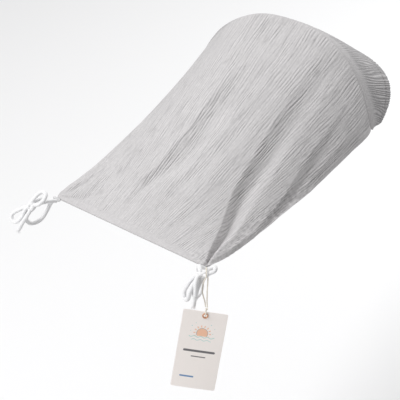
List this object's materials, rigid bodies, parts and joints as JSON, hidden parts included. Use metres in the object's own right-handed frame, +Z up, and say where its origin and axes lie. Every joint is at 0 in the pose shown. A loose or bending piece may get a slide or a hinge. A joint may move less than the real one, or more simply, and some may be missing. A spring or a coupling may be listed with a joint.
{
  "type": "pram sun shade",
  "caption": "Crinkled muslin sun shade with an elastic hood band and corner ties, stretched from a pram's hood bow to its handlebar, with a swing tag on a twine loop.",
  "frame": {"origin": "crown of the seam between the shade and its hood band, where it lies on the pram's hood bow", "axes": "+X across the pram to the side with the swing tag, +Y from the handlebar to the rear of the hood, +Z up"},
  "size_m": [0.4731, 0.7872, 0.3545],
  "materials": {
    "muslin": "light grey crinkled double gauze",
    "thread": "pale grey sewing thread",
    "elastic": "white elastic cord",
    "cord": "white braided cotton cord",
    "twine": "cream twisted cotton twine",
    "card": "cream uncoated card",
    "eyelet": "copper plated"
  },
  "bodies": {
    "root": {"shade_panel": "muslin", "hood_band": "muslin", "front_hem_thread": "thread", "left_hem_thread": "thread", "right_hem_thread": "thread", "band_hem_thread": "thread", "band_seam_thread": "thread", "hem_elastic": "elastic", "left_tie_tack": "thread", "right_tie_tack": "thread", "left_tie_knot": "cord", "left_tie_over": "cord", "left_tie_under": "cord", "left_tie_upper_loop": "cord", "left_tie_lower_loop": "cord", "left_tie_long_tail": "cord", "left_tie_short_tail": "cord", "right_tie_knot": "cord", "right_tie_over": "cord", "right_tie_under": "cord", "right_tie_upper_loop": "cord", "right_tie_lower_loop": "cord", "right_tie_long_tail": "cord", "right_tie_short_tail": "cord"},
    "tag_string": {"tag_twine": "twine"},
    "tag_knot": {"tag_twine_knot": "twine", "tag_twine_eye": "twine"},
    "tag": {"tag_card": "card", "tag_eyelet": "eyelet", "tag_washer": "eyelet"}
  },
  "joints": [
    {"name": "tag_swing", "type": "hinge", "parent": "root", "child": "tag_string", "pos_m": [0.19993, -0.60381, -0.14345], "axis": [0.829, 0.5592, 0], "range_deg": [-50, 0]},
    {"name": "tag_twist", "type": "hinge", "parent": "tag_string", "child": "tag_knot", "pos_m": [0.21875, -0.63082, -0.1966], "axis": [0, 0, 1], "range_deg": [-15, 60]},
    {"name": "tag_turn", "type": "hinge", "parent": "tag_knot", "child": "tag", "pos_m": [0.2188, -0.63453, -0.20906], "axis": [0.5426, -0.8044, 0.2419], "range_deg": [-25, 25]}
  ]
}
